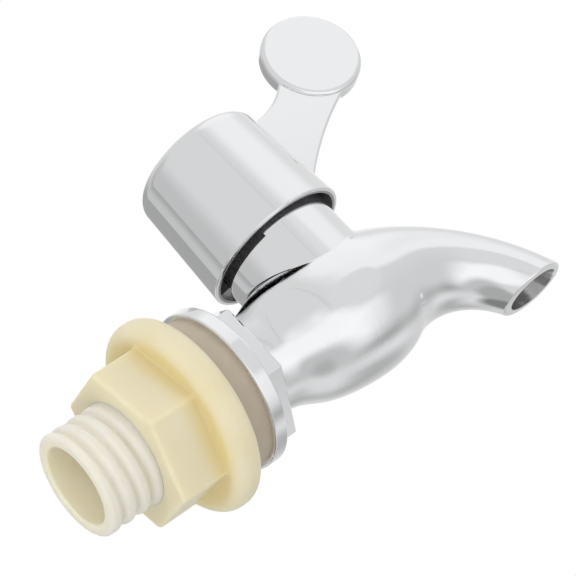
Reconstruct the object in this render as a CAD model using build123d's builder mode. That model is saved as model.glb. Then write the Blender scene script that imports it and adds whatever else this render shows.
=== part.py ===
"""Beverage dispenser spigot with a quarter-turn lever, in millimetres.

The thread axis is X, with the spout towards +X. The tower stands along +Z. The origin is where the
thread axis crosses the rear sealing face of the body's flange, the face that meets the wall gasket.
The lever is modelled shut, above the spout. Turned to +90 degrees about the tower it is fully open.
"""

import os
from math import cos, radians, sin, sqrt

from build123d import *

# Clearances
RUNNING_GAP = 0.06
SEAT_GAP = 0.04
AXIAL_GAP = 0.1
FREE_GAP = 0.3

# Body: wall flange, hexagon, belly and spout
FLANGE_RADIUS = 12.5
FLANGE_THICKNESS = 2.4
FLANGE_EDGE = 0.35
HEX_CORNER_RADIUS = 11.3
HEX_THICKNESS = 3.1
HEX_EDGE = 0.3
STEM_RADIUS = 6.8
STEM_SINK = 0.5
SPINE_DROP = 0.7
SPOUT_BEND_RADIUS = 22.5
SPOUT_BEND_ANGLE = 84.0
OUTLET_DROP = 14.2
OUTLET_RADIUS = 5.2
OUTLET_EDGE = 0.35
OUTLET_BORE_RADIUS = 4.15
BELLY_RADIUS = 10.9
# Share of the way from the hexagon to the bend, with the radius there
BELLY_SHAPE = ((0.2, 8.0), (0.37, 9.6), (0.55, 10.6), (0.74, BELLY_RADIUS), (0.87, 10.72), (1.0, 9.95))
# Angle turned in the bend, with the radius there
SPOUT_SHAPE = ((9.0, 8.75), (20.0, 7.4), (32.0, 6.3), (44.0, 5.6), (56.0, 5.25), (68.0, OUTLET_RADIUS))

# Tower and valve chamber
TOWER_X = 23.7
BEND_START = 6.2
NECK_RADIUS = 9.65
NECK_TOP = 23.0
NECK_BLEND = 0.8
CORE_RADIUS = 6.9
CHAMBER_DEPTH = 7.6
CHAMBER_TOP = 14.0
BONNET_RADIUS = 7.9
STOP_RECESS_DEPTH = 0.75
STOP_HALF_ANGLE = 14.0
STOP_PLAY_ANGLE = 1.0
LEVER_TRAVEL = 90.0

# Shank, wall nut and gasket
THREAD_RADIUS = 8.0
THREAD_PITCH_RADIUS = 7.6
THREAD_LEAD_IN = 0.7
SHANK_REACH = 25.0
SHANK_BORE_RADIUS = 6.05
SHANK_TAIL = 4.4
SHANK_TAIL_WALL = 1.05
SHANK_LIP = 0.45
INLET_RADIUS = 4.4
GASKET_THICKNESS = 3.8
GASKET_RADIUS = 11.75
GASKET_HOLE_GAP = 0.15
NUT_FLANGE_RADIUS = 14.95
NUT_FLANGE_THICKNESS = 4.6
NUT_RIM_ROUND = 2.0
NUT_FACE_ROUND = 2.0
NUT_HEX_CORNER_RADIUS = 12.3
NUT_HEX_LENGTH = 7.8
NUT_TURN = 13.5
NUT_CORNER_ROUND = 0.7
NUT_EDGE = 0.6
NUT_FOOT_ROUND = 0.5

# Valve core, seals and bonnet
PORT_RADIUS = 3.3
CORE_EDGE = 0.4
DRIVE_ACROSS_FLATS = 6.2
DRIVE_LENGTH = 3.7
STEM_SHOULDER = 0.12
O_RING_SECTION = 1.8
O_RING_SQUEEZE = 0.12
O_RING_INSET = 2.6
BONNET_RING_SECTION = 1.6
BONNET_RING_INSET = 3.6
BONNET_FLANGE_THICKNESS = 1.3
BONNET_FLANGE_SETBACK = 0.45
BONNET_GRIP_NOTCHES = 6
BONNET_NOTCH_WIDTH = 1.6
BONNET_NOTCH_DEPTH = 0.9
WASHER_THICKNESS = 1.2
SEAL_WALL = 2.0
SEAL_LENGTH = 3.0
SNAP_POST_RADIUS = 2.5
SNAP_LENGTH = 2.4
SNAP_BEAD = 0.35
SNAP_SLOT_WIDTH = 1.0
SNAP_SLOT_ROOT = 2.0

# Cap and lever
CAP_RIM_Z = 13.55
SKIRT_GAP = 1.15
SKIRT_WALL = 0.95
SKIRT_TAPER = 1.1
CAP_RIM_EDGE = 0.25
CAP_EDGE_ROUND = 2.4
CAP_CROWN = 0.5
CAP_ROOF = 2.0
CAP_HEADROOM = 0.9
BOSS_WALL = 0.75
RECESS_BELOW_RIM = 1.05
LUG_INSET = 0.65
LUG_HEIGHT = 6.3
LUG_GAP = 0.15
BLADE_THICKNESS = 1.9
BLADE_EDGE = 0.35
BLADE_ROOT_DROP = 0.7
BLADE_ROOT_HEIGHT = 14.9
BLADE_SINK = 0.7
BLADE_LOW_SAG = 0.9
BLADE_HIGH_SAG = 1.2
LEVER_REACH = 28.0
DISC_RISE = 4.0
DISC_RADIUS = 8.0
DISC_THICKNESS = 3.0
DISC_EDGE = 0.8
DISC_SINK = 0.1
DISC_LOW_ANGLE = 268.0
DISC_HIGH_ANGLE = 188.5

CHAMBER_RADIUS = CORE_RADIUS + RUNNING_GAP
HEX_FRONT = FLANGE_THICKNESS + HEX_THICKNESS
SPINE_LENGTH = TOWER_X + BEND_START
SHANK_TAIL_RADIUS = SHANK_BORE_RADIUS + SHANK_TAIL_WALL
GASKET_BACK = -GASKET_THICKNESS
NUT_HEX_START = GASKET_BACK - NUT_FLANGE_THICKNESS
NUT_END = NUT_HEX_START - NUT_HEX_LENGTH
CORE_TOP = CHAMBER_TOP - WASHER_THICKNESS - AXIAL_GAP
STEM_RADIUS_IN_BONNET = DRIVE_ACROSS_FLATS / sqrt(2) + STEM_SHOULDER
STEM_BORE_RADIUS = STEM_RADIUS_IN_BONNET + RUNNING_GAP
BONNET_TOP = NECK_TOP + BONNET_FLANGE_THICKNESS
RECESSED_NECK_RADIUS = NECK_RADIUS - STOP_RECESS_DEPTH
DRIVE_TOP = BONNET_TOP + DRIVE_LENGTH
SNAP_TOP = DRIVE_TOP + SNAP_LENGTH
SNAP_BEAD_Z = SNAP_TOP - 3 * SNAP_BEAD
SEAL_OUTER_RADIUS = PORT_RADIUS + SEAL_WALL
SEAL_START = TOWER_X - CHAMBER_RADIUS - SEAL_LENGTH
CAP_CEILING = SNAP_TOP + CAP_HEADROOM
CAP_TOP_Z = CAP_CEILING + CAP_ROOF
SKIRT_INNER_RIM = NECK_RADIUS + SKIRT_GAP
CAP_RIM_RADIUS = SKIRT_INNER_RIM + SKIRT_WALL
CAP_TOP_RADIUS = CAP_RIM_RADIUS - SKIRT_TAPER
CROWN_RADIUS = (CAP_TOP_RADIUS**2 + CAP_CROWN**2) / (2 * CAP_CROWN)

tower_axis = Axis((TOWER_X, 0, 0), (0, 0, 1))
tower_side = Plane(origin=(TOWER_X, 0, 0), x_dir=(1, 0, 0), z_dir=(0, -1, 0))

os.makedirs("parts", exist_ok=True)


def tower_plane(height):
    """A plane across the tower axis at a height above the thread axis."""
    return Plane(origin=(TOWER_X, 0, height), x_dir=(1, 0, 0), z_dir=(0, 0, 1))


def tube_plane(distance):
    """A plane across the thread axis at a distance in front of the wall face."""
    return Plane(origin=(distance, 0, 0), x_dir=(0, 1, 0), z_dir=(1, 0, 0))


def straight_station(share):
    """A plane across the straight part of the body's spine, at a share of its length."""
    start = Vector(HEX_FRONT, 0, 0)
    end = Vector(SPINE_LENGTH, 0, -SPINE_DROP)
    return Plane(origin=start + (end - start) * share, x_dir=(0, 1, 0), z_dir=end - start)


def bend_station(angle):
    """A plane across the spout's bend, at an angle turned downwards from level."""
    centre_z = -SPINE_DROP - SPOUT_BEND_RADIUS
    turn = radians(angle)
    origin = (SPINE_LENGTH + SPOUT_BEND_RADIUS * sin(turn), 0, centre_z + SPOUT_BEND_RADIUS * cos(turn))
    return Plane(origin=origin, x_dir=(0, 1, 0), z_dir=(cos(turn), 0, -sin(turn)))


def polar_point(radius, angle):
    """A point at a radius and an angle in degrees around a sketch's origin."""
    return (radius * cos(radians(angle)), radius * sin(radians(angle)))


def skirt_radius(outer_rim, height):
    """Radius at a height of a skirt face that has a given radius at the rim and the cap's taper."""
    return outer_rim - SKIRT_TAPER * (height - CAP_RIM_Z) / (CAP_TOP_Z - CAP_CROWN - CAP_RIM_Z)


def sagging_middle(start, end, sag):
    """Middle point of an arc between two points, a distance to the right of the straight line."""
    across = (Vector(*end) - Vector(*start)).rotate(Axis.Z, -90).normalized()
    return (Vector(*start) + Vector(*end)) / 2 + across * sag


def write(part, name):
    """Label a finished piece and write it under its own name."""
    part.label = name
    export_step(part, f"parts/{name}.step")


# Wall base: round flange and hexagon, which become one moulding with the body
with BuildPart() as wall_base:
    with BuildSketch(tube_plane(0)):
        Circle(FLANGE_RADIUS)
    extrude(amount=FLANGE_THICKNESS)
    fillet(wall_base.edges().filter_by(GeomType.CIRCLE), FLANGE_EDGE)
    with BuildSketch(tube_plane(FLANGE_THICKNESS)):
        RegularPolygon(radius=HEX_CORNER_RADIUS, side_count=6, rotation=30)
    extrude(amount=HEX_THICKNESS)
    chamfer(wall_base.faces().sort_by(Axis.X)[-1].edges(), HEX_EDGE)

# Waterway from the valve chamber to the outlet, one curved bore
with BuildPart() as waterway:
    with BuildSketch(tube_plane(TOWER_X)):
        Circle(PORT_RADIUS)
    for share in (0, 0.25, 0.5, 0.75, 1):
        with BuildSketch(bend_station(SPOUT_BEND_ANGLE * share)):
            Circle(PORT_RADIUS + (OUTLET_BORE_RADIUS - PORT_RADIUS) * share)
    loft()

# Spigot body: belly, bent spout and neck, with the wall base
with BuildPart() as spigot_body:
    with BuildSketch(tube_plane(HEX_FRONT - STEM_SINK)):
        Circle(STEM_RADIUS)
    for share, radius in BELLY_SHAPE:
        with BuildSketch(straight_station(share)):
            Circle(radius)
    for angle, radius in SPOUT_SHAPE:
        with BuildSketch(bend_station(angle)):
            Circle(radius)
    with BuildSketch(bend_station(SPOUT_BEND_ANGLE)):
        Circle(OUTLET_RADIUS)
    loft()
    with BuildSketch(Plane.XY.offset(-OUTLET_DROP)):
        with Locations((SPINE_LENGTH + SPOUT_BEND_RADIUS, 0)):
            Rectangle(2 * SPOUT_BEND_RADIUS, 4 * OUTLET_RADIUS)
    extrude(amount=-SPOUT_BEND_RADIUS, mode=Mode.SUBTRACT)
    fillet(spigot_body.faces().sort_by(Axis.Z)[0].edges(), OUTLET_EDGE)
    with BuildSketch(tower_plane(0)):
        Circle(NECK_RADIUS)
    extrude(amount=NECK_TOP)
    neck_seam = spigot_body.edges(Select.LAST).filter_by(GeomType.BSPLINE).sort_by(Edge.length)[-1]
    fillet(neck_seam, NECK_BLEND)
    add(wall_base.part)
    # Valve chamber, and the wider bore above it for the bonnet
    with BuildSketch(tower_plane(-CHAMBER_DEPTH)):
        Circle(CHAMBER_RADIUS)
    extrude(amount=CHAMBER_DEPTH + NECK_TOP, mode=Mode.SUBTRACT)
    with BuildSketch(tower_plane(CHAMBER_TOP)):
        Circle(BONNET_RADIUS + SEAT_GAP)
    extrude(amount=NECK_TOP - CHAMBER_TOP, mode=Mode.SUBTRACT)
    # Inlet: socket for the shank's tail, passage, and the pocket of the port seal
    with BuildSketch(tube_plane(0)):
        Circle(SHANK_TAIL_RADIUS + SEAT_GAP)
    extrude(amount=SHANK_TAIL, mode=Mode.SUBTRACT)
    with BuildSketch(tube_plane(0)):
        Circle(INLET_RADIUS)
    extrude(amount=TOWER_X, mode=Mode.SUBTRACT)
    with BuildSketch(tube_plane(SEAL_START)):
        Circle(SEAL_OUTER_RADIUS + SEAT_GAP)
    extrude(amount=SEAL_LENGTH + CHAMBER_RADIUS, mode=Mode.SUBTRACT)
    add(waterway.part, mode=Mode.SUBTRACT)
    # Recess around the back of the neck, in which the cap's stop lug swings
    with BuildSketch(tower_plane(CAP_RIM_Z - RECESS_BELOW_RIM)):
        Circle(SKIRT_INNER_RIM)
        Circle(RECESSED_NECK_RADIUS, mode=Mode.SUBTRACT)
        with BuildLine():
            half_turn = LEVER_TRAVEL / 2 + STOP_HALF_ANGLE
            fan = [polar_point(2 * NECK_RADIUS, 180 + half_turn * share) for share in (-1, 0, 1)]
            Polyline((0, 0), *fan, close=True)
        make_face(mode=Mode.INTERSECT)
    extrude(amount=NECK_TOP, mode=Mode.SUBTRACT)
write(spigot_body.part, "spigot_body")

# Shank: plain cylinder at the crest of its thread, narrower at the thread's pitch line where the nut
# is wound on, with a tail bonded in the body's socket
with BuildPart() as threaded_shank:
    with BuildSketch(tube_plane(-SHANK_REACH)):
        Circle(THREAD_RADIUS)
    extrude(amount=SHANK_REACH)
    chamfer(threaded_shank.faces().sort_by(Axis.X)[0].edges(), THREAD_LEAD_IN)
    with BuildSketch(tube_plane(NUT_END - AXIAL_GAP)):
        Circle(THREAD_RADIUS + FREE_GAP)
        Circle(THREAD_PITCH_RADIUS, mode=Mode.SUBTRACT)
    extrude(amount=SHANK_REACH, mode=Mode.SUBTRACT)
    with BuildSketch(tube_plane(0)):
        Circle(SHANK_TAIL_RADIUS)
    extrude(amount=SHANK_TAIL)
    with BuildSketch(tube_plane(-SHANK_REACH)):
        Circle(SHANK_BORE_RADIUS)
    extrude(amount=SHANK_REACH + SHANK_TAIL, mode=Mode.SUBTRACT)
    fillet(threaded_shank.faces().sort_by(Axis.X)[0].edges().sort_by(SortBy.RADIUS)[0], SHANK_LIP)
write(threaded_shank.part, "threaded_shank")

# Wall gasket: a thick flat ring between the body's flange and the nut
with BuildPart() as wall_gasket:
    with BuildSketch(tube_plane(GASKET_BACK)):
        Circle(GASKET_RADIUS)
        Circle(THREAD_RADIUS + GASKET_HOLE_GAP, mode=Mode.SUBTRACT)
    extrude(amount=GASKET_THICKNESS)
write(wall_gasket.part, "wall_gasket")

# Wall nut: thick round flange and a hexagon to turn it by hand, bored to the thread's pitch line
with BuildPart() as wall_nut:
    with BuildSketch(tube_plane(NUT_HEX_START)):
        Circle(NUT_FLANGE_RADIUS)
    extrude(amount=NUT_FLANGE_THICKNESS)
    fillet(wall_nut.faces().sort_by(Axis.X)[0].edges(), NUT_RIM_ROUND)
    fillet(wall_nut.faces().sort_by(Axis.X)[-1].edges(), NUT_FACE_ROUND)
    with BuildSketch(tube_plane(NUT_END)) as nut_hexagon:
        RegularPolygon(radius=NUT_HEX_CORNER_RADIUS, side_count=6, rotation=NUT_TURN)
        fillet(nut_hexagon.vertices(), NUT_CORNER_ROUND)
    extrude(amount=NUT_HEX_LENGTH)
    fillet(wall_nut.faces().sort_by(Axis.X)[0].edges(), NUT_EDGE)
    foot_band = (NUT_HEX_START - NUT_FOOT_ROUND / 2, NUT_HEX_START + NUT_FOOT_ROUND / 2)
    foot_edges = wall_nut.edges().filter_by_position(Axis.X, *foot_band)
    fillet(foot_edges.filter_by(lambda edge: not edge.is_closed), NUT_FOOT_ROUND)
    with BuildSketch(tube_plane(NUT_END)):
        Circle(THREAD_PITCH_RADIUS + RUNNING_GAP)
    extrude(amount=GASKET_BACK - NUT_END, mode=Mode.SUBTRACT)
write(wall_nut.part, "wall_nut")

# Heights of the sealing rings in the bonnet
stem_ring_heights = {
    "lower_stem_ring": CHAMBER_TOP + O_RING_INSET,
    "upper_stem_ring": NECK_TOP - O_RING_INSET,
}
bonnet_ring_height = CHAMBER_TOP + BONNET_RING_INSET

# Valve core: plug with a cross port, stem with two ring grooves, square drive and snap post
groove_floor = STEM_BORE_RADIUS - O_RING_SECTION + O_RING_SQUEEZE
groove_width = O_RING_SECTION + 2 * AXIAL_GAP
with BuildPart() as valve_core:
    with BuildSketch(tower_plane(AXIAL_GAP - CHAMBER_DEPTH)):
        Circle(CORE_RADIUS)
    extrude(amount=CORE_TOP + CHAMBER_DEPTH - AXIAL_GAP)
    chamfer(valve_core.edges().filter_by(GeomType.CIRCLE), CORE_EDGE)
    with BuildSketch(tower_plane(CORE_TOP)):
        Circle(STEM_RADIUS_IN_BONNET)
    extrude(amount=BONNET_TOP + AXIAL_GAP - CORE_TOP)
    for height in stem_ring_heights.values():
        with BuildSketch(tower_plane(height - groove_width / 2)):
            Circle(CORE_RADIUS)
            Circle(groove_floor, mode=Mode.SUBTRACT)
        extrude(amount=groove_width, mode=Mode.SUBTRACT)
    with BuildSketch(tower_plane(BONNET_TOP)):
        Rectangle(DRIVE_ACROSS_FLATS, DRIVE_ACROSS_FLATS)
    extrude(amount=DRIVE_LENGTH)
    with BuildSketch(tower_plane(DRIVE_TOP)):
        Circle(SNAP_POST_RADIUS)
    extrude(amount=SNAP_LENGTH)
    with BuildSketch(tower_plane(SNAP_BEAD_Z)):
        Circle(SNAP_POST_RADIUS + SNAP_BEAD)
    extrude(amount=2 * SNAP_BEAD)
    with BuildSketch(tower_plane(DRIVE_TOP - SNAP_SLOT_ROOT)):
        Rectangle(SNAP_SLOT_WIDTH, 2 * DRIVE_ACROSS_FLATS)
    extrude(amount=SNAP_LENGTH + SNAP_SLOT_ROOT, mode=Mode.SUBTRACT)
    with BuildSketch(tower_side):
        Circle(PORT_RADIUS)
    extrude(amount=2 * CORE_RADIUS, both=True, mode=Mode.SUBTRACT)
write(valve_core.part, "valve_core")

# Stem rings: squeezed between the groove floor and the bonnet's bore
for name, height in stem_ring_heights.items():
    with BuildPart() as stem_ring:
        with BuildSketch(Plane(origin=(TOWER_X, 0, height), x_dir=(1, 0, 0), z_dir=(0, -1, 0))):
            with Locations(((groove_floor + STEM_BORE_RADIUS) / 2, 0)):
                Circle((STEM_BORE_RADIUS - groove_floor - SEAT_GAP) / 2)
        revolve(axis=tower_axis)
    write(stem_ring.part, name)

# Bonnet: collar pressed into the neck, with the bore of the stem and a ring groove outside
bonnet_groove_floor = BONNET_RADIUS + SEAT_GAP - BONNET_RING_SECTION + O_RING_SQUEEZE
bonnet_groove_width = BONNET_RING_SECTION + 2 * AXIAL_GAP
bonnet_flange_radius = RECESSED_NECK_RADIUS - BONNET_FLANGE_SETBACK
with BuildPart() as bonnet:
    with BuildSketch(tower_plane(CHAMBER_TOP)):
        Circle(BONNET_RADIUS)
    extrude(amount=BONNET_TOP - CHAMBER_TOP)
    with BuildSketch(tower_plane(NECK_TOP)):
        Circle(bonnet_flange_radius)
        with PolarLocations(bonnet_flange_radius, BONNET_GRIP_NOTCHES):
            Rectangle(2 * BONNET_NOTCH_DEPTH, BONNET_NOTCH_WIDTH, mode=Mode.SUBTRACT)
    extrude(amount=BONNET_FLANGE_THICKNESS)
    with BuildSketch(tower_plane(bonnet_ring_height - bonnet_groove_width / 2)):
        Circle(NECK_RADIUS)
        Circle(bonnet_groove_floor, mode=Mode.SUBTRACT)
    extrude(amount=bonnet_groove_width, mode=Mode.SUBTRACT)
    with BuildSketch(tower_plane(CHAMBER_TOP)):
        Circle(STEM_BORE_RADIUS)
    extrude(amount=BONNET_TOP - CHAMBER_TOP, mode=Mode.SUBTRACT)
write(bonnet.part, "bonnet")

# Bonnet ring: seals the collar against the neck
with BuildPart() as bonnet_ring:
    with BuildSketch(Plane(origin=(TOWER_X, 0, bonnet_ring_height), x_dir=(1, 0, 0), z_dir=(0, -1, 0))):
        with Locations(((bonnet_groove_floor + BONNET_RADIUS + SEAT_GAP) / 2, 0)):
            Circle((BONNET_RADIUS - bonnet_groove_floor) / 2)
    revolve(axis=tower_axis)
write(bonnet_ring.part, "bonnet_ring")

# Thrust washer: slippery ring between the plug's shoulder and the bonnet
with BuildPart() as thrust_washer:
    with BuildSketch(tower_plane(CHAMBER_TOP - WASHER_THICKNESS)):
        Circle(CHAMBER_RADIUS - SEAT_GAP)
        Circle(STEM_BORE_RADIUS, mode=Mode.SUBTRACT)
    extrude(amount=WASHER_THICKNESS)
write(thrust_washer.part, "thrust_washer")

# Port seal: elastic ring in the inlet pocket, hollowed to the curve of the plug
with BuildPart() as port_seal:
    with BuildSketch(tube_plane(SEAL_START)):
        Circle(SEAL_OUTER_RADIUS)
        Circle(PORT_RADIUS, mode=Mode.SUBTRACT)
    extrude(amount=SEAL_LENGTH + CHAMBER_RADIUS)
    with BuildSketch(tower_plane(-CHAMBER_DEPTH)):
        Circle(CORE_RADIUS + SEAT_GAP)
    extrude(amount=2 * CHAMBER_DEPTH, mode=Mode.SUBTRACT)
write(port_seal.part, "port_seal")

# Finger disc at the lever's end
disc_centre = (LEVER_REACH, CAP_TOP_Z + DISC_RISE)
with BuildPart() as finger_disc:
    with BuildSketch(tower_side):
        with Locations(disc_centre):
            Circle(DISC_RADIUS)
    extrude(amount=DISC_THICKNESS / 2, both=True)
    fillet(finger_disc.edges().filter_by(GeomType.CIRCLE), DISC_EDGE)

# Lever blade, wide at the cap and waisted under the disc
blade_high_z = CAP_TOP_Z - BLADE_ROOT_DROP
blade_low_z = blade_high_z - BLADE_ROOT_HEIGHT
low_root = (skirt_radius(CAP_RIM_RADIUS, blade_low_z) - BLADE_SINK, blade_low_z)
high_root = (CAP_TOP_RADIUS - BLADE_SINK, blade_high_z)
low_end = Vector(*disc_centre) + Vector(*polar_point(DISC_RADIUS - DISC_SINK, DISC_LOW_ANGLE))
high_end = Vector(*disc_centre) + Vector(*polar_point(DISC_RADIUS - DISC_SINK, DISC_HIGH_ANGLE))
with BuildPart() as lever_blade:
    with BuildSketch(tower_side):
        with BuildLine():
            ThreePointArc(low_root, sagging_middle(low_root, low_end, -BLADE_LOW_SAG), low_end)
            Line(low_end, high_end)
            ThreePointArc(high_end, sagging_middle(high_end, high_root, -BLADE_HIGH_SAG), high_root)
            Line(high_root, low_root)
        make_face()
    extrude(amount=BLADE_THICKNESS / 2, both=True)
    fillet(lever_blade.edges().filter_by(GeomType.CIRCLE), BLADE_EDGE)

# Cap and lever: one moulding, with a square socket on the drive and a stop lug in the skirt
with BuildPart() as lever_cap:
    with BuildSketch(tower_side):
        with BuildLine():
            Polyline((0, CAP_RIM_Z), (CAP_RIM_RADIUS, CAP_RIM_Z), (CAP_TOP_RADIUS, CAP_TOP_Z - CAP_CROWN))
            RadiusArc((CAP_TOP_RADIUS, CAP_TOP_Z - CAP_CROWN), (0, CAP_TOP_Z), -CROWN_RADIUS)
            Line((0, CAP_TOP_Z), (0, CAP_RIM_Z))
        make_face()
    revolve(axis=tower_axis)
    outer_edges = lever_cap.edges().filter_by(lambda edge: edge.is_closed).sort_by(Axis.Z)
    fillet(outer_edges[-1], CAP_EDGE_ROUND)
    fillet(outer_edges[0], CAP_RIM_EDGE)
    add(lever_blade.part)
    add(finger_disc.part)
    # Hollow of the skirt, leaving the socket boss under the roof
    with BuildSketch(tower_side):
        with BuildLine():
            boss_radius = DRIVE_ACROSS_FLATS / sqrt(2) + BOSS_WALL
            boss_bottom = BONNET_TOP + FREE_GAP
            Polyline(
                (boss_radius, boss_bottom),
                (boss_radius, CAP_CEILING),
                (skirt_radius(SKIRT_INNER_RIM, CAP_CEILING), CAP_CEILING),
                (SKIRT_INNER_RIM, CAP_RIM_Z),
                (0, CAP_RIM_Z),
                (0, boss_bottom),
                close=True,
            )
        make_face()
    revolve(axis=tower_axis, mode=Mode.SUBTRACT)
    with BuildSketch(tower_plane(boss_bottom)):
        Rectangle(DRIVE_ACROSS_FLATS + 2 * RUNNING_GAP, DRIVE_ACROSS_FLATS + 2 * RUNNING_GAP)
    extrude(amount=DRIVE_TOP + AXIAL_GAP - boss_bottom, mode=Mode.SUBTRACT)
    with BuildSketch(tower_plane(DRIVE_TOP)):
        Circle(SNAP_POST_RADIUS + RUNNING_GAP)
    extrude(amount=SNAP_LENGTH + AXIAL_GAP, mode=Mode.SUBTRACT)
    with BuildSketch(tower_plane(SNAP_BEAD_Z - AXIAL_GAP)):
        Circle(SNAP_POST_RADIUS + SNAP_BEAD + RUNNING_GAP)
    extrude(amount=2 * SNAP_BEAD + 2 * AXIAL_GAP, mode=Mode.SUBTRACT)
    # Stop lug: at one end of the neck's recess when shut, at the other when open
    with BuildSketch(tower_plane(CAP_RIM_Z + LUG_INSET)):
        Circle(SKIRT_INNER_RIM)
        Circle(RECESSED_NECK_RADIUS + LUG_GAP, mode=Mode.SUBTRACT)
        with BuildLine():
            lug_middle = 180 - LEVER_TRAVEL / 2
            lug_half = STOP_HALF_ANGLE - STOP_PLAY_ANGLE
            wedge = [polar_point(2 * CAP_RIM_RADIUS, lug_middle + lug_half * side) for side in (-1, 1)]
            Polyline((0, 0), *wedge, close=True)
        make_face(mode=Mode.INTERSECT)
    extrude(amount=LUG_HEIGHT)
write(lever_cap.part, "lever_cap")
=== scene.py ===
"""Studio scene of a quarter-turn drinks dispenser tap in bright plate and cream moulded plastic."""

import logging
import math
from dataclasses import dataclass
from enum import Enum

import bpy
from mathutils import Matrix, Vector


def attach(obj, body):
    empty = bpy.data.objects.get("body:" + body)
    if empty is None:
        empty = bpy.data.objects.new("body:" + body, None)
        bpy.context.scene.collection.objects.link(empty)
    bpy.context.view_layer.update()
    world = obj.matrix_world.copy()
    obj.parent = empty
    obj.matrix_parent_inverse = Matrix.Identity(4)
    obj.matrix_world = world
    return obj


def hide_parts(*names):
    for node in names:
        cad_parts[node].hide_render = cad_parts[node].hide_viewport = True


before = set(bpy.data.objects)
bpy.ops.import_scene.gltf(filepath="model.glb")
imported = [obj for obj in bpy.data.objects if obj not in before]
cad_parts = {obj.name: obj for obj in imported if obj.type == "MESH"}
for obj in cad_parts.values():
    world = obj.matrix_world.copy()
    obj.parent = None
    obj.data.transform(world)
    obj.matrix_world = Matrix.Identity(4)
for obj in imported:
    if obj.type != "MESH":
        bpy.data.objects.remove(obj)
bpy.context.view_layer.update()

LOG = logging.getLogger("dispenser_tap")

HALF_TURN = 180.0

Colour = tuple[float, float, float, float]
Tree = bpy.types.NodeTree
Node = bpy.types.Node
Socket = bpy.types.NodeSocket
Material = bpy.types.Material


class ThreadHand(Enum):
    """Which way a thread winds."""

    RIGHT = 1.0
    LEFT = -1.0


class GroupSocket(Enum):
    """Kinds of socket that the node groups use."""

    NUMBER = "NodeSocketFloat"
    COLOUR = "NodeSocketColor"
    VECTOR = "NodeSocketVector"
    GEOMETRY = "NodeSocketGeometry"


class Ease(Enum):
    """How a ramp goes from its start to its end."""

    EVEN = "LINEAR"
    SOFT = "SMOOTHSTEP"


def grey(level: float) -> Colour:
    """Give a grey.

    Args:
        level: How bright it is, from 0 for black to 1 for white.

    Returns:
        The grey as a colour.
    """
    return level, level, level, 1.0


def feed(tree: Tree, node: Node, values: dict[str | int, object]) -> None:
    """Give a node's inputs sockets to read from, or plain values.

    Args:
        tree: The tree that the node is in.
        node: The node.
        values: Sockets or plain values, by the input's name or number.
    """
    for slot, value in values.items():
        if isinstance(value, Socket):
            tree.links.new(value, node.inputs[slot])
        else:
            node.inputs[slot].default_value = value


def add_node(
    tree: Tree, kind: str, values: dict[str | int, object] | None = None, **settings: object
) -> Node:
    """Add a node to a tree, set its properties and feed its inputs.

    Args:
        tree: The tree that the node goes in.
        kind: The node's type name.
        values: Sockets or plain values, by the input's name or number.
        **settings: Properties of the node, by name.

    Returns:
        The new node.
    """
    node = tree.nodes.new(kind)
    for name, value in settings.items():
        setattr(node, name, value)
    feed(tree, node, values or {})
    return node


def maths(
    tree: Tree, operation: str, *values: Socket | float, kind: str = "ShaderNodeMath"
) -> Socket:
    """Add a Math node to a tree, with sockets or numbers as its operands.

    Args:
        tree: The tree that the node goes in.
        operation: The operation's name.
        *values: Sockets to read from, or plain numbers.
        kind: The node's type name.

    Returns:
        The node's result socket.
    """
    return add_node(tree, kind, dict(enumerate(values)), operation=operation).outputs[0]


def ramp(
    tree: Tree,
    value: Socket,
    span: tuple[float, float],
    levels: tuple[Socket | float, Socket | float] = (0.0, 1.0),
    ease: Ease = Ease.SOFT,
) -> Socket:
    """Turn a value into another that stays between two levels.

    Args:
        tree: The tree that the node goes in.
        value: The value to read.
        span: The values at which the ramp starts and ends.
        levels: What it gives up to its start, and from its end on.
        ease: How it goes from the one to the other.

    Returns:
        The ramp's result socket.
    """
    values = dict(zip(("From Min", "From Max", "To Min", "To Max"), span + levels))
    node = add_node(tree, "ShaderNodeMapRange", values, interpolation_type=ease.value)
    feed(tree, node, {"Value": value})
    return node.outputs["Result"]


def object_place(tree: Tree) -> Socket:
    """Read the place of the shaded point in the object's own coordinates.

    Args:
        tree: The material's or group's tree.

    Returns:
        The place.
    """
    return add_node(tree, "ShaderNodeTexCoord").outputs["Object"]


def object_axes(tree: Tree) -> Node:
    """Split the place of the shaded point into its three coordinates.

    Args:
        tree: The material's or group's tree.

    Returns:
        A node with outputs X, Y and Z.
    """
    return add_node(tree, "ShaderNodeSeparateXYZ", {0: object_place(tree)})


def noise(tree: Tree, scale: Socket | float, detail: float, roughness: float = 0.5) -> Socket:
    """Add a noise over the object's own coordinates.

    Args:
        tree: The tree that the node goes in.
        scale: How fine the noise is.
        detail: How many finer layers it has.
        roughness: How strong the finer layers are.

    Returns:
        The noise's level.
    """
    values = {"Scale": scale, "Detail": detail, "Roughness": roughness}
    node = add_node(tree, "ShaderNodeTexNoise", values)
    feed(tree, node, {"Vector": object_place(tree)})
    return node.outputs["Fac"]


def mix_colours(tree: Tree, share: Socket, first: object, second: object) -> Socket:
    """Mix two colours, each a socket or a plain colour.

    Args:
        tree: The tree that the node goes in.
        share: The share of the second colour.
        first: The colour at share 0.
        second: The colour at share 1.

    Returns:
        The mixed colour.
    """
    # The node has a pair of inputs for each kind of value, and 6, 7 and output 2 are the colours
    values = {"Factor": share, 6: first, 7: second}
    return add_node(tree, "ShaderNodeMix", values, data_type="RGBA").outputs[2]


def mix_shaders(tree: Tree, share: Socket, first: Socket, second: Socket) -> Socket:
    """Mix two shaders.

    Args:
        tree: The tree that the node goes in.
        share: The share of the second shader.
        first: The shader at share 0.
        second: The shader at share 1.

    Returns:
        The mixed shader.
    """
    return add_node(tree, "ShaderNodeMixShader", {0: share, 1: first, 2: second}).outputs[0]


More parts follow.
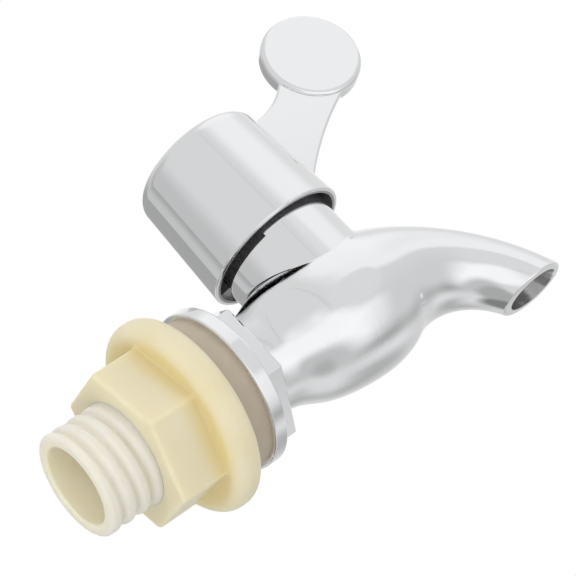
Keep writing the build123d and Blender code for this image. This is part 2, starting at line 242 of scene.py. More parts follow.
def camera_ray(tree: Tree) -> Socket:
    """Tell the rays that come straight from the camera from all others.

    Args:
        tree: The tree that asks.

    Returns:
        1 for such a ray, or else 0.
    """
    return add_node(tree, "ShaderNodeLightPath").outputs["Is Camera Ray"]


def mirrored_ray(tree: Tree) -> Socket:
    """Tell the rays that a metal or a clear surface sends on from all others.

    Args:
        tree: The tree that asks.

    Returns:
        1 for such a ray, or else 0.
    """
    rays = add_node(tree, "ShaderNodeLightPath").outputs
    return maths(tree, "MAXIMUM", rays["Is Glossy Ray"], rays["Is Transmission Ray"])


def start_material(name: str) -> tuple[Material, Tree, Node]:
    """Make a material with one Principled shader.

    Args:
        name: The material's name.

    Returns:
        The material, its node tree and the shader.
    """
    material = bpy.data.materials.new(name)
    material.use_nodes = True
    return material, material.node_tree, material.node_tree.nodes["Principled BSDF"]


def start_group(
    name: str,
    inputs: dict[str, tuple[GroupSocket, object]],
    outputs: dict[str, GroupSocket],
    kind: str = "ShaderNodeTree",
) -> tuple[Tree, Node, Node]:
    """Make an empty node group with its sockets.

    Args:
        name: The group's name.
        inputs: Socket kind and default value by input name, with None for no default.
        outputs: Socket kind by output name.
        kind: The tree's type name.

    Returns:
        The tree, its input node and its output node.
    """
    tree = bpy.data.node_groups.new(name, kind)
    for label, (socket, default) in inputs.items():
        made = tree.interface.new_socket(name=label, in_out="INPUT", socket_type=socket.value)
        if default is not None:
            made.default_value = default
    for label, socket in outputs.items():
        tree.interface.new_socket(name=label, in_out="OUTPUT", socket_type=socket.value)
    return tree, add_node(tree, "NodeGroupInput"), add_node(tree, "NodeGroupOutput")


def place_group(tree: Tree, group: Tree, values: dict[str | int, object]) -> Node:
    """Place a shader group in a tree.

    Args:
        tree: The tree that the group goes in.
        group: The shader group.
        values: Sockets or plain values, by input name.

    Returns:
        The group's node.
    """
    return add_node(tree, "ShaderNodeGroup", values, node_tree=group)


class ShaderGroups:
    """Shader node groups that more than one finish uses, each built once."""

    RUB_SPAN = (0.35, 0.7)
    CLOUD_SPAN = (0.35, 0.75)
    SPECK_SCALE = 2200.0

    def __init__(self) -> None:
        """Build the groups."""
        self.ripple = self._build_ripple()
        self.mottle = self._build_mottle()
        self.tube_place = self._build_tube_place()

    def _build_ripple(self) -> Tree:
        """Build the slow waviness and faint rub marks of a moulded surface.

        Returns:
            A group that gives a height for a bump and a roughness.
        """
        tree, given, result = start_group(
            "Surface Ripple",
            {
                "Wave Scale": (GroupSocket.NUMBER, 90.0),
                "Rub Scale": (GroupSocket.NUMBER, 700.0),
                "Rub Share": (GroupSocket.NUMBER, 0.2),
                "Smoothest": (GroupSocket.NUMBER, 0.05),
                "Roughest": (GroupSocket.NUMBER, 0.1),
            },
            {"Height": GroupSocket.NUMBER, "Roughness": GroupSocket.NUMBER},
        )
        wave = noise(tree, given.outputs["Wave Scale"], detail=1.0)
        rub = noise(tree, given.outputs["Rub Scale"], detail=4.0, roughness=0.6)
        rubbed = maths(tree, "MULTIPLY", rub, given.outputs["Rub Share"])
        levels = (given.outputs["Smoothest"], given.outputs["Roughest"])
        feed(tree, result, {
            "Height": maths(tree, "ADD", wave, rubbed),
            "Roughness": ramp(tree, rub, self.RUB_SPAN, levels, Ease.EVEN),
        })
        return tree

    def _build_mottle(self) -> Tree:
        """Build the cloudy tint of moulded plastic or elastomer, with fine specks.

        Returns:
            A group that gives a colour.
        """
        tree, given, result = start_group(
            "Moulded Mottle",
            {
                "Light": (GroupSocket.COLOUR, grey(0.8)),
                "Deep": (GroupSocket.COLOUR, grey(0.6)),
                "Cloud Scale": (GroupSocket.NUMBER, 120.0),
                "Speck Share": (GroupSocket.NUMBER, 0.1),
            },
            {"Color": GroupSocket.COLOUR},
        )
        cloud = noise(tree, given.outputs["Cloud Scale"], detail=2.0)
        speck = noise(tree, self.SPECK_SCALE, detail=3.0)
        specks = maths(tree, "MULTIPLY", speck, given.outputs["Speck Share"])
        share = ramp(tree, maths(tree, "ADD", cloud, specks), self.CLOUD_SPAN, ease=Ease.EVEN)
        mixed = mix_colours(tree, share, given.outputs["Light"], given.outputs["Deep"])
        feed(tree, result, {"Color": mixed})
        return tree

    @staticmethod
    def _build_tube_place() -> Tree:
        """Build the place of a point along and around the thread axis.

        Returns:
            A group that gives the distance from the axis and the place along it.
        """
        tree, _, result = start_group(
            "Tube Place", {}, {"Radius": GroupSocket.NUMBER, "Along": GroupSocket.NUMBER}
        )
        split = object_axes(tree)
        square = maths(tree, "MULTIPLY", split.outputs["Y"], split.outputs["Y"])
        square = maths(tree, "MULTIPLY_ADD", split.outputs["Z"], split.outputs["Z"], square)
        feed(tree, result, {"Radius": maths(tree, "SQRT", square), "Along": split.outputs["X"]})
        return tree


@dataclass(frozen=True)
class PaintedTubeShade:
    """Painted shade as a deeper colour near the thread axis, and if wanted near one place on it."""

    colour: Colour
    deep_radius: float
    light_radius: float
    share: float
    foot: float | None = None
    foot_reach: float = 0.003

    def mix(self, tree: Tree, groups: ShaderGroups, base: Socket) -> Socket:
        """Lay the painted shade over a colour.

        Args:
            tree: The material's tree.
            groups: The shared shader groups.
            base: The colour without the painted shade.

        Returns:
            The colour with the painted shade.
        """
        place = place_group(tree, groups.tube_place, {})
        span = (self.light_radius, self.deep_radius)
        share = ramp(tree, place.outputs["Radius"], span, (0.0, self.share))
        if self.foot is not None:
            away = maths(tree, "SUBTRACT", place.outputs["Along"], self.foot)
            near = ramp(tree, maths(tree, "ABSOLUTE", away), (self.foot_reach, 0.0))
            share = maths(tree, "MULTIPLY", share, near)
        return mix_colours(tree, share, base, self.colour)


@dataclass(frozen=True)
class PaintedBoreShade:
    """Painted shade in the bore of the spout's bend, as a bent tube: darker, less metallic plate,
    rougher.
    """

    bend_start: float = 0.0299
    bend_middle: float = -0.0232
    bend_radius: float = 0.0225
    bore_limit: float = 0.00405
    colour: Colour = (0.44, 0.44, 0.445, 1.0)
    metallic: float = 0.7
    roughness: float = 0.16

    def mask(self, tree: Tree) -> Socket:
        """Tell the bore from the rest of the body.

        Args:
            tree: The material's tree.

        Returns:
            1 in the bore, or else 0.
        """
        split = object_axes(tree)
        across = maths(tree, "SUBTRACT", split.outputs["X"], self.bend_start)
        rise = maths(tree, "SUBTRACT", split.outputs["Z"], self.bend_middle)
        square = maths(tree, "MULTIPLY_ADD", across, across, maths(tree, "MULTIPLY", rise, rise))
        off_arc = maths(tree, "SUBTRACT", maths(tree, "SQRT", square), self.bend_radius)
        square = maths(tree, "MULTIPLY", split.outputs["Y"], split.outputs["Y"])
        square = maths(tree, "MULTIPLY_ADD", off_arc, off_arc, square)
        within = maths(tree, "LESS_THAN", maths(tree, "SQRT", square), self.bore_limit)
        return maths(tree, "MULTIPLY", within, maths(tree, "GREATER_THAN", across, 0.0))


@dataclass(frozen=True)
class PaintedSkirtShade:
    """Painted shade inside the cap's skirt, as a cone on the tower: darker, less metallic plate,
    rougher.
    """

    tower_x: float = 0.0237
    rim_height: float = 0.01355
    rim_limit: float = 0.0112
    taper: float = 0.057
    roof: float = 0.0308
    colour: Colour = (0.36, 0.36, 0.37, 1.0)
    metallic: float = 0.45
    roughness: float = 0.3

    def mask(self, tree: Tree) -> Socket:
        """Tell the inside of the skirt from the rest of the cap.

        Args:
            tree: The material's tree.

        Returns:
            1 inside, or else 0.
        """
        split = object_axes(tree)
        across = maths(tree, "SUBTRACT", split.outputs["X"], self.tower_x)
        square = maths(tree, "MULTIPLY", split.outputs["Y"], split.outputs["Y"])
        square = maths(tree, "MULTIPLY_ADD", across, across, square)
        rise = maths(tree, "SUBTRACT", split.outputs["Z"], self.rim_height)
        reach = maths(tree, "MULTIPLY_ADD", rise, self.taper, maths(tree, "SQRT", square))
        within = maths(tree, "LESS_THAN", reach, self.rim_limit)
        below = maths(tree, "LESS_THAN", split.outputs["Z"], self.roof)
        return maths(tree, "MULTIPLY", within, below)


@dataclass(frozen=True)
class Ripple:
    """How wavy, rubbed and rough a moulded surface is, with the bump's full depth in metres."""

    wave_scale: float
    rub_scale: float
    rub_share: float
    smoothest: float
    roughest: float
    bump_distance: float

    def lay(self, tree: Tree, groups: ShaderGroups, shader: Node) -> Socket:
        """Bump a shader's surface.

        Args:
            tree: The material's tree.
            groups: The shared shader groups.
            shader: The shader that gets the bumped normal.

        Returns:
            The surface's roughness.
        """
        ripple = place_group(tree, groups.ripple, {
            "Wave Scale": self.wave_scale,
            "Rub Scale": self.rub_scale,
            "Rub Share": self.rub_share,
            "Smoothest": self.smoothest,
            "Roughest": self.roughest,
        })
        bump = add_node(tree, "ShaderNodeBump", {
            "Strength": 1.0,
            "Distance": self.bump_distance,
            "Height": ripple.outputs["Height"],
        })
        feed(tree, shader, {"Normal": bump.outputs["Normal"]})
        return ripple.outputs["Roughness"]


@dataclass(frozen=True)
class BrightPlate:
    """Bright plate on plastic: a mirror with the moulding's faint waviness under it, and painted
    shade in a hollow.
    """

    name: str
    painted_hollow_shade: PaintedSkirtShade | PaintedBoreShade
    colour: Colour = (0.87, 0.875, 0.885, 1.0)
    ripple: Ripple = Ripple(
        wave_scale=70.0,
        rub_scale=900.0,
        rub_share=0.05,
        smoothest=0.035,
        roughest=0.07,
        bump_distance=0.000004,
    )

    def make(self, groups: ShaderGroups) -> Material:
        """Build the plate's material.

        Args:
            groups: The shared shader groups.

        Returns:
            The material.
        """
        material, tree, shader = start_material(self.name)
        rubbed = self.ripple.lay(tree, groups, shader)
        # Painted shade: in the hollow the plate is darker and less metallic, as well as rougher
        inside = self.painted_hollow_shade.mask(tree)
        dull = maths(tree, "MULTIPLY", inside, self.painted_hollow_shade.roughness)
        feed(tree, shader, {
            "Base Color": mix_colours(tree, inside, self.colour, self.painted_hollow_shade.colour),
            "Metallic": maths(tree, "MULTIPLY_ADD", inside, self.painted_hollow_shade.metallic - 1.0, 1.0),
            "Roughness": maths(tree, "MAXIMUM", dull, rubbed),
        })
        return material


@dataclass(frozen=True)
class MottledFinish:
    """A moulded finish whose colour drifts between two near ones."""

    name: str
    light: Colour
    deep: Colour
    cloud_scale: float = 140.0
    speck_share: float = 0.12

    def mottled(self, tree: Tree, groups: ShaderGroups) -> Socket:
        """Lay the finish's own colour.

        Args:
            tree: The material's tree.
            groups: The shared shader groups.

        Returns:
            The colour.
        """
        mottle = place_group(tree, groups.mottle, {
            "Light": self.light,
            "Deep": self.deep,
            "Cloud Scale": self.cloud_scale,
            "Speck Share": self.speck_share,
        })
        return mottle.outputs["Color"]


@dataclass(frozen=True)
class MouldedPlastic(MottledFinish):
    """Natural moulded plastic that lets light a little way in."""

    # Painted shade in a crease, in grooves or in a bore, if any
    painted_shade: PaintedTubeShade | None = None
    light_depth: float = 0.002
    light_reach: tuple[float, float, float] = (1.0, 0.9, 0.55)
    light_share: float = 0.6
    refraction: float = 1.46
    ripple: Ripple = Ripple(
        wave_scale=260.0,
        rub_scale=1500.0,
        rub_share=0.25,
        smoothest=0.32,
        roughest=0.45,
        bump_distance=0.00004,
    )

    def make(self, groups: ShaderGroups) -> Material:
        """Build the plastic's material.

        Args:
            groups: The shared shader groups.

        Returns:
            The material.
        """
        material, tree, shader = start_material(self.name)
        colour = self.mottled(tree, groups)
        if self.painted_shade is not None:
            colour = self.painted_shade.mix(tree, groups, colour)
        feed(tree, shader, {
            "Base Color": colour,
            "Subsurface Weight": self.light_share,
            "Subsurface Radius": self.light_reach,
            "Subsurface Scale": self.light_depth,
            "IOR": self.refraction,
            "Roughness": self.ripple.lay(tree, groups, shader),
        })
        return material


@dataclass(frozen=True)
class SoftElastomer(MottledFinish):
    """Soft sealing elastomer with a dull skin."""

    cloud_scale: float = 320.0
    speck_share: float = 0.3
    ripple: Ripple = Ripple(
        wave_scale=420.0,
        rub_scale=2600.0,
        rub_share=0.5,
        smoothest=0.5,
        roughest=0.68,
        bump_distance=0.00003,
    )

    def make(self, groups: ShaderGroups) -> Material:
        """Build the elastomer's material.

        Args:
            groups: The shared shader groups.

        Returns:
            The material.
        """
        material, tree, shader = start_material(self.name)
        feed(tree, shader, {
            "Base Color": self.mottled(tree, groups),
            "Roughness": self.ripple.lay(tree, groups, shader),
        })
        return material


def put_in_scene(data: bpy.types.ID, name: str) -> bpy.types.Object:
    """Make an object of a mesh, a camera or a lamp, and link it to the scene.

    Args:
        data: The mesh, camera or lamp.
        name: The object's name.

    Returns:
        The object.
    """
    thing = bpy.data.objects.new(name, data)
    bpy.context.scene.collection.objects.link(thing)
    return thing


def apply_tree(thing: bpy.types.Object, tree: Tree, name: str) -> bpy.types.Mesh:
    """Run a geometry tree on an object and keep its result as a plain mesh.

    Args:
        thing: The object, which is removed afterwards.
        tree: The geometry tree.
        name: The new mesh's name.

    Returns:
        The plain mesh.
    """
    modifier = thing.modifiers.new("shape", "NODES")
    modifier.node_group = tree
    bpy.context.view_layer.update()
    reading = bpy.context.evaluated_depsgraph_get()
    mesh = bpy.data.meshes.new_from_object(thing.evaluated_get(reading), depsgraph=reading)
    mesh.name = name
    thing.modifiers.remove(modifier)
    bpy.data.objects.remove(thing)
    return mesh


@dataclass
class ThreadedShank:
    """The natural plastic shank: a tube with a coarse round thread, plain inside the nut.

    Lengths are in metres. Places along the axis start at the flange's wall face, and the open mouth
    is on the minus side.
    """

    crest_radius: float = 0.008
    ridge_depth: float = 0.00062
    trough_power: float = 1.9
    pitch: float = 0.0025
    lead_in: float = 0.0007
    reach: float = 0.025
    bore_radius: float = 0.00605
    lip: float = 0.00045
    mouth_margin: float = 0.0003
    tail: float = 0.0044
    tail_radius: float = 0.0071
    nut_face: float = 0.0162
    engaged_radius: float = 0.0076
    plain_start: float = 0.0005
    nut_fade: float = 0.0007
    nut_bite: float = 0.0003
    phase: float = -1.4
    ring_step: float = 0.00014
    round_steps: int = 6
    spokes: int = 192
    crisp_angle: float = 40.0
    hand: ThreadHand = ThreadHand.RIGHT

    def outline(self) -> list[tuple[float, float, float]]:
        """Outline of the tube's section, as a closed loop.

        Returns:
            Place along the axis, radius, and share of the ridge depth there.
        """
        mouth = -self.reach
        steps = range(1, self.round_steps + 1)
        turns = [math.pi / 2 * step / self.round_steps for step in steps]
        rounds = [(1 - math.sin(turn), 1 - math.cos(turn)) for turn in turns]
        points = [(mouth + self.lip, self.bore_radius, 0.0)]
        for fall, rise in rounds:
            points.append((mouth + self.lip * fall, self.bore_radius + self.lip * rise, 0.0))
        points.append((mouth, self.crest_radius - self.lead_in - self.mouth_margin, 0.0))
        for fall, rise in rounds:
            radius = self.crest_radius - self.lead_in * fall
            points.append((mouth + self.lead_in * rise, radius, 0.0))
        threaded = self.reach - self.lead_in - self.nut_face
        rings = round(threaded / self.ring_step)
        for step in range(1, rings + 1):
            along = threaded * step / rings
            share = min(1.0, along / self.plain_start, (threaded - along) / self.nut_fade)
            points.append((mouth + self.lead_in + along, self.crest_radius, share))
        points += [
            (self.nut_bite - self.nut_face, self.crest_radius, 0.0),
            (self.nut_bite - self.nut_face, self.engaged_radius, 0.0),
            (0.0, self.engaged_radius, 0.0),
            (0.0, self.tail_radius, 0.0),
            (self.tail, self.tail_radius, 0.0),
            (self.tail, self.bore_radius, 0.0),
            (0.0, self.bore_radius, 0.0),
            (mouth / 2, self.bore_radius, 0.0),
        ]
        return points

    def blank(self) -> bpy.types.Object:
        """Turn the outline into a tube that has no thread yet.

        Returns:
            The tube, with the share of the ridge depth as a point attribute.
        """
        outline = self.outline()
        places, shares, faces = [], [], []
        for along, radius, share in outline:
            for spoke in range(self.spokes):
                turn = math.tau * spoke / self.spokes
                places.append((along, radius * math.cos(turn), radius * math.sin(turn)))
                shares.append(share)
        for ring in range(len(outline)):
            after = (ring + 1) % len(outline)
            for spoke in range(self.spokes):
                beside = (spoke + 1) % self.spokes
                faces.append((
                    ring * self.spokes + spoke,
                    ring * self.spokes + beside,
                    after * self.spokes + beside,
                    after * self.spokes + spoke,
                ))
        mesh = bpy.data.meshes.new("shank_blank")
        mesh.from_pydata(places, [], faces)
        attribute = mesh.attributes.new("ridge_share", "FLOAT", "POINT")
        attribute.data.foreach_set("value", shares)
        mesh.update()
        return put_in_scene(mesh, "shank_blank")

    def thread_tree(self, finish: Material) -> Tree:
        """Build the tree that cuts the helical groove into the blank.

        Args:
            finish: The material of the finished shank.

        Returns:
            The geometry tree, with named inputs for the thread's sizes.
        """
        tree, given, result = start_group(
            "Round Thread",
            {
                "Blank": (GroupSocket.GEOMETRY, None),
                "Pitch": (GroupSocket.NUMBER, self.pitch),
                "Depth": (GroupSocket.NUMBER, self.ridge_depth),
                "Hand": (GroupSocket.NUMBER, self.hand.value),
                "Phase": (GroupSocket.NUMBER, self.phase),
            },
            {"Threaded": GroupSocket.GEOMETRY},
            kind="GeometryNodeTree",
        )
        place = add_node(tree, "GeometryNodeInputPosition")
        split = add_node(tree, "ShaderNodeSeparateXYZ", {0: place.outputs[0]})
        turn = maths(tree, "ARCTAN2", split.outputs["Z"], split.outputs["Y"])
        turned = maths(tree, "MULTIPLY", turn, given.outputs["Hand"])
        turns = maths(tree, "DIVIDE", split.outputs["X"], given.outputs["Pitch"])
        along = maths(tree, "MULTIPLY_ADD", turns, math.tau, given.outputs["Phase"])
        wave = maths(tree, "COSINE", maths(tree, "SUBTRACT", along, turned))
        # The power makes the trough a little narrower than the ridge, with both still round
        level = maths(tree, "MULTIPLY_ADD", wave, 0.5, 0.5)
        trough = maths(tree, "POWER", level, self.trough_power)
        share = add_node(
            tree, "GeometryNodeInputNamedAttribute", {"Name": "ridge_share"}, data_type="FLOAT"
        )
        depth = maths(tree, "MULTIPLY", trough, given.outputs["Depth"])
        cut = maths(tree, "MULTIPLY", depth, share.outputs[0])
        across = {"Y": split.outputs["Y"], "Z": split.outputs["Z"]}
        outward = add_node(tree, "ShaderNodeCombineXYZ", across)
        unit = maths(tree, "NORMALIZE", outward.outputs[0], kind="ShaderNodeVectorMath")
        scaled = {0: unit, "Scale": maths(tree, "MULTIPLY", cut, -1.0)}
        inward = add_node(tree, "ShaderNodeVectorMath", scaled, operation="SCALE")
        moved = {"Geometry": given.outputs["Blank"], "Offset": inward.outputs[0]}
        move = add_node(tree, "GeometryNodeSetPosition", moved)
        real = add_node(tree, "GeometryNodeRealizeInstances", {0: move.outputs[0]})
        dressed = {"Geometry": real.outputs[0], "Material": finish}
        dress = add_node(tree, "GeometryNodeSetMaterial", dressed)
        feed(tree, result, {"Threaded": dress.outputs[0]})
        return tree

    def build(self, finish: Material) -> bpy.types.Object:
        """Cut the thread and let the shank stand for its plain solid.

        Args:
            finish: The shank's material.

        Returns:
            The finished shank.
        """
        mesh = apply_tree(self.blank(), self.thread_tree(finish), "shank_with_thread")
        mesh.shade_smooth()
        mesh.set_sharp_from_angle(angle=math.radians(self.crisp_angle))
        shank = put_in_scene(mesh, "shank_with_thread")
        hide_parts("threaded_shank")
        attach(shank, "tap")
        return shank


@dataclass(frozen=True)
class CarriedSolids:
    """Solids that keep their own shape and share a finish."""

    names: tuple[str, ...]
    finish: BrightPlate | MouldedPlastic | SoftElastomer

    def dress(self, groups: ShaderGroups) -> list[bpy.types.Object]:
        """Give the solids their finish.

        Args:
            groups: The shared shader groups.

        Returns:
            The solids.
        """
        material = self.finish.make(groups)
        solids = [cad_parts[name] for name in self.names]
        for solid in solids:
            solid.data.materials.clear()
            solid.data.materials.append(material)
        return solids


@dataclass(frozen=True)
class TentPanel:
    """A cloth or flag of the studio tent, by where it hangs as seen from the tap.

    Bearings are in degrees about +Z from +X, and heights in degrees above the level. The edges are
    how far, in degrees, each side of the panel fades to either hand.
    """

    bearings: tuple[float, float]
    heights: tuple[float, float]
    level: float
    bearing_edges: tuple[float, float] = (3.0, 3.0)
    height_edges: tuple[float, float] = (3.0, 3.0)

    def cover(self, tree: Tree, bearing: Socket, height: Socket) -> Socket:
        """Work out how much of a direction the panel covers.

        Args:
            tree: The tent's tree.
            bearing: The direction's bearing.
            height: The direction's height.

        Returns:
            A share, from 0 beside the panel to 1 well inside it.
        """
        share = None
        for angle, (start, end), fades in (
            (bearing, self.bearings, self.bearing_edges),
            (height, self.heights, self.height_edges),
        ):
            half = (end - start) / 2
            away = maths(tree, "SUBTRACT", angle, (start + end) / 2)
            away = maths(tree, "WRAP", away, HALF_TURN, -HALF_TURN)
            for side, fade in zip((-1.0, 1.0), fades):
                inside = ramp(tree, away, (side * (half + fade), side * (half - fade)))
                share = inside if share is None else maths(tree, "MULTIPLY", share, inside)
        return share


@dataclass(frozen=True)
class RoundCloth:
    """A round cloth or flag of the studio tent, by where its middle hangs as seen from the tap.

    The bearing, height, radius and the fade of its edge to either hand are in degrees, as on a
    panel.
    """

    bearing: float
    height: float
    radius: float
    edge: float
    level: float

    def cover(self, tree: Tree, direction: Socket) -> Socket:
        """Work out how much of a direction the cloth covers.

        Args:
            tree: The tent's tree.
            direction: The direction, of length 1.

        Returns:
            A share, from 0 beside the cloth to 1 well inside it.
        """
        bearing, height = math.radians(self.bearing), math.radians(self.height)
        flat = math.cos(height)
        middle = (flat * math.cos(bearing), flat * math.sin(bearing), math.sin(height))
        values = {0: direction, 1: middle}
        reading = add_node(tree, "ShaderNodeVectorMath", values, operation="DOT_PRODUCT")
        away = maths(tree, "DEGREES", maths(tree, "ARCCOSINE", reading.outputs["Value"]))
        return ramp(tree, away, (self.radius + self.edge, self.radius - self.edge))


@dataclass(frozen=True)
class StudioTent:
    """The tent of cloths and flags around the tap, which is what bright metal shows."""

    level: float = 0.75
    panels: tuple[TentPanel, ...] = (
        TentPanel((-67.0, 74.5), (8.0, 52.5), 0.96, (12.5, 5.0), (4.0, 13.0)),
        TentPanel((-11.0, 38.5), (14.0, 61.0), 0.8, (12.0, 11.5), (6.0, 6.0)),
        TentPanel((73.0, 132.0), (3.0, 51.0), 0.41, (8.0, 1.5), (8.0, 15.0)),
        TentPanel((129.0, 159.0), (-7.0, 69.0), 0.6, (0.5, 1.0), (8.0, 15.0)),
        TentPanel((148.5, 161.0), (5.0, 62.0), 0.44, (8.0, 0.8), (8.0, 15.0)),
        TentPanel((158.0, 192.5), (12.0, 71.0), 0.58, (0.9, 17.0), (7.0, 14.0)),
        TentPanel((-84.2, -82.6), (-10.5, 60.0), 0.67, (1.2, 1.0)),
    )
    rounds: tuple[RoundCloth, ...] = (
        RoundCloth(-94.5, -35.5, 25.0, 7.5, 1.04),
        RoundCloth(-52.0, -49.5, 24.5, 8.0, 1.06),
        RoundCloth(-128.0, -76.5, 22.5, 12.0, 0.59),
        RoundCloth(11.0, -48.0, 24.0, 16.5, 0.33),
        RoundCloth(49.5, -47.0, 20.5, 16.0, 1.3),
        RoundCloth(66.5, -41.0, 27.0, 18.5, 0.48),
        RoundCloth(107.5, -52.5, 23.0, 15.0, 0.8),
        RoundCloth(127.0, -37.5, 23.5, 9.5, 0.24),
        RoundCloth(175.0, -23.0, 23.5, 4.0, 0.2),
        RoundCloth(174.0, -62.0, 22.5, 7.5, 0.44),
        RoundCloth(-31.5, 47.5, 19.5, 7.5, 0.98),
        RoundCloth(-7.5, 46.0, 16.0, 9.5, 1.01),
        RoundCloth(-62.0, 0.5, 19.5, 3.0, 0.78),
        RoundCloth(-99.0, -8.5, 9.0, 11.0, 0.95),
        RoundCloth(-22.5, -28.5, 24.5, 16.5, 0.69),
    )

    def build(self) -> Tree:
        """Build the tent's light level by direction.

        Returns:
            A group that turns a direction into a level.
        """
        tree, given, result = start_group(
            "Studio Tent",
            {"Direction": (GroupSocket.VECTOR, (1.0, 0.0, 0.0))},
            {"Level": GroupSocket.NUMBER},
        )
        given_way = given.outputs["Direction"]
        direction = maths(tree, "NORMALIZE", given_way, kind="ShaderNodeVectorMath")
        split = add_node(tree, "ShaderNodeSeparateXYZ", {0: direction})
        turn = maths(tree, "ARCTAN2", split.outputs["Y"], split.outputs["X"])
        bearing = maths(tree, "DEGREES", turn)
        height = maths(tree, "DEGREES", maths(tree, "ARCSINE", split.outputs["Z"]))
        cloths = [(panel.level, panel.cover(tree, bearing, height)) for panel in self.panels]
        cloths += [(cloth.level, cloth.cover(tree, direction)) for cloth in self.rounds]
        level = self.level
        for cloth_level, cover in cloths:
            change = maths(tree, "SUBTRACT", cloth_level, level)
            level = maths(tree, "MULTIPLY_ADD", cover, change, level)
        feed(tree, result, {"Level": level})
        return tree


@dataclass(frozen=True)
class SoftLamp:
    """A square soft lamp that no mirror shows, with its side in metres and its power in watts."""

    name: str
    place: tuple[float, float, float]
    size: float
    power: float

    def hang(self, target: Vector) -> None:
        """Hang the lamp so that it faces a point.

        Args:
            target: The point it faces.
        """
        data = bpy.data.lights.new(self.name, "AREA")
        data.shape = "SQUARE"
        data.size = self.size
        data.energy = self.power
        lamp = put_in_scene(data, self.name)
        lamp.visible_glossy = False
        place = Vector(self.place)
        turn = (target - place).to_track_quat("-Z", "Y").to_matrix().to_4x4()
        lamp.matrix_world = Matrix.Translation(place) @ turn


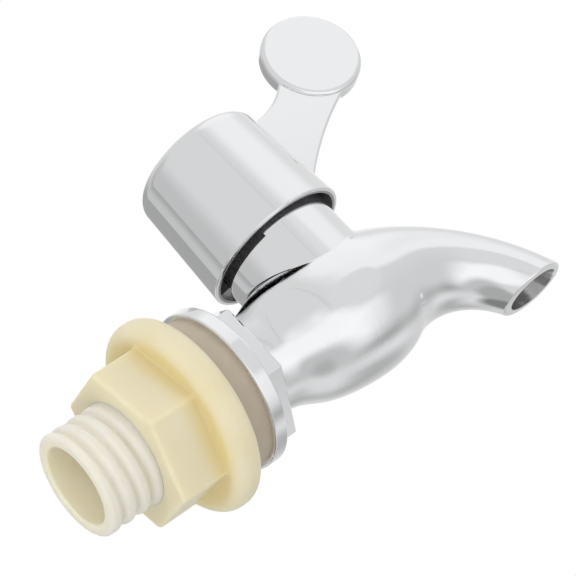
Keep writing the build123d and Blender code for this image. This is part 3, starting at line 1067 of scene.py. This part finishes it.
@dataclass
class Studio:
    """Pale floor, tent, soft lamps and the photograph's camera."""

    eye: Vector = Vector((-0.132684, -0.259578, -0.094739))
    ahead: Vector = Vector((0.48093, 0.81601, 0.32069))
    upward: Vector = Vector((0.47826, -0.55071, 0.68410))
    lens: float = 137.5
    sensor: float = 36.0
    clips: tuple[float, float] = (0.01, 20.0)
    floor_drop: float = 0.3
    floor_reach: float = 4.0
    floor_glow: float = 0.55
    floor_shade: float = 0.9
    floor_roughness: float = 0.8
    daylight: float = 0.62
    lamp_target: Vector = Vector((0.02, 0.0, 0.01))
    lamps: tuple[SoftLamp, ...] = (
        SoftLamp("key_lamp", (-0.35, -0.5, 0.21), 0.4, 0.9),
        SoftLamp("side_lamp", (0.45, -0.42, 0.1), 0.4, 0.8),
        SoftLamp("low_lamp", (-0.45, -0.2, -0.2), 0.3, 0.7),
        SoftLamp("top_lamp", (0.05, 0.1, 0.6), 0.5, 0.8),
    )

    def camera(self) -> None:
        """Set the camera at the photograph's place."""
        data = bpy.data.cameras.new("photo_camera")
        data.sensor_width = self.sensor
        data.lens = self.lens
        data.clip_start, data.clip_end = self.clips
        camera = put_in_scene(data, "photo_camera")
        ahead = self.ahead.normalized()
        side = ahead.cross(self.upward).normalized()
        upward = side.cross(ahead)
        turn = Matrix((side, upward, -ahead)).transposed().to_4x4()
        camera.matrix_world = Matrix.Translation(self.eye) @ turn
        bpy.context.scene.camera = camera

    def world(self, tent: Tree) -> None:
        """Surround the tap with even light, the tent in its mirrors and white behind it.

        Args:
            tent: The tent's group.
        """
        world = bpy.data.worlds.new("pale_tent")
        bpy.context.scene.world = world
        world.use_nodes = True
        tree = world.node_tree
        tree.nodes.clear()
        direction = add_node(tree, "ShaderNodeTexCoord").outputs["Generated"]
        level = place_group(tree, tent, {"Direction": direction}).outputs["Level"]
        even, cloth, white = (
            add_node(tree, "ShaderNodeBackground", {"Color": colour}).outputs[0]
            for colour in (grey(self.daylight), level, grey(1.0))
        )
        lit = mix_shaders(tree, mirrored_ray(tree), even, cloth)
        seen = mix_shaders(tree, camera_ray(tree), lit, white)
        add_node(tree, "ShaderNodeOutputWorld", {"Surface": seen})

    def floor(self, tent: Tree) -> None:
        """Lay the pale floor under the tap, lower than the camera.

        Args:
            tent: The tent's group, which the floor carries on in the tap's mirrors.
        """
        reach, level = self.floor_reach, -self.floor_drop
        sides = ((-reach, -reach), (reach, -reach), (reach, reach), (-reach, reach))
        mesh = bpy.data.meshes.new("pale_floor")
        mesh.from_pydata([(x, y, level) for x, y in sides], [], [(0, 1, 2, 3)])
        floor = put_in_scene(mesh, "pale_floor")
        material, tree, paint = start_material("floor_paint")
        feed(tree, paint, {
            "Base Color": grey(self.floor_shade),
            "Roughness": self.floor_roughness,
        })
        shade = place_group(tree, tent, {"Direction": object_place(tree)}).outputs["Level"]
        cloth = add_node(tree, "ShaderNodeEmission", {"Color": shade}).outputs[0]
        white = add_node(tree, "ShaderNodeEmission").outputs[0]
        glow = maths(tree, "MULTIPLY", camera_ray(tree), self.floor_glow)
        pale = mix_shaders(tree, glow, paint.outputs[0], white)
        mixed = mix_shaders(tree, mirrored_ray(tree), pale, cloth)
        feed(tree, tree.nodes["Material Output"], {"Surface": mixed})
        mesh.materials.append(material)

    def build(self) -> None:
        """Set up the camera, the tent, the floor and the lamps."""
        self.camera()
        tent = StudioTent().build()
        self.world(tent)
        self.floor(tent)
        for lamp in self.lamps:
            lamp.hang(self.lamp_target)
        bpy.context.scene.view_settings.view_transform = "Standard"


def main() -> None:
    """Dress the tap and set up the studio."""
    logging.basicConfig(level=logging.INFO)
    groups = ShaderGroups()
    # Painted shade: a deeper yellow in the crease where the nut's hexagon meets its flange
    painted_foot_shade = PaintedTubeShade(
        (0.77, 0.64, 0.3, 1.0),
        deep_radius=0.0118,
        light_radius=0.0146,
        share=0.85,
        foot=-0.0084,
        foot_reach=0.0036,
    )
    # Painted shade: a yellower colour in the thread's troughs and in the shank's bore
    painted_root_shade = PaintedTubeShade(
        (0.86, 0.8, 0.6, 1.0), deep_radius=0.0062, light_radius=0.0079, share=0.7
    )
    # The body's plate gets painted shade in the spout's bore, and the cap's plate under its skirt
    plate = BrightPlate("bright_plate", PaintedBoreShade())
    cap_plate = BrightPlate("cap_plate", PaintedSkirtShade())
    cream = MouldedPlastic(
        "cream_plastic", (0.8, 0.735, 0.54, 1.0), (0.78, 0.705, 0.485, 1.0), painted_shade=painted_foot_shade
    )
    ivory = MouldedPlastic(
        "ivory_plastic", (0.8, 0.775, 0.7, 1.0), (0.78, 0.75, 0.66, 1.0), painted_shade=painted_root_shade
    )
    white = MouldedPlastic("white_acetal", (0.84, 0.84, 0.82, 1.0), (0.8, 0.8, 0.77, 1.0))
    tan = SoftElastomer("tan_elastomer", (0.53, 0.46, 0.37, 1.0), (0.49, 0.42, 0.33, 1.0))
    black = SoftElastomer("black_rubber", grey(0.03), grey(0.02))
    rings = ("bonnet_ring", "port_seal", "lower_stem_ring", "upper_stem_ring")
    pieces = []
    for solids in (
        CarriedSolids(("spigot_body",), plate),
        CarriedSolids(("lever_cap",), cap_plate),
        CarriedSolids(("wall_nut",), cream),
        CarriedSolids(("wall_gasket",), tan),
        CarriedSolids(("valve_core", "bonnet", "thrust_washer"), white),
        CarriedSolids(rings, black),
    ):
        pieces += solids.dress(groups)
    pieces.append(ThreadedShank().build(ivory.make(groups)))
    Studio().build()
    for piece in pieces:
        shape = piece.data
        finish = shape.materials[0].name
        LOG.info("%s wears %s and has %d faces", piece.name, finish, len(shape.polygons))


if __name__ == "__main__":
    main()
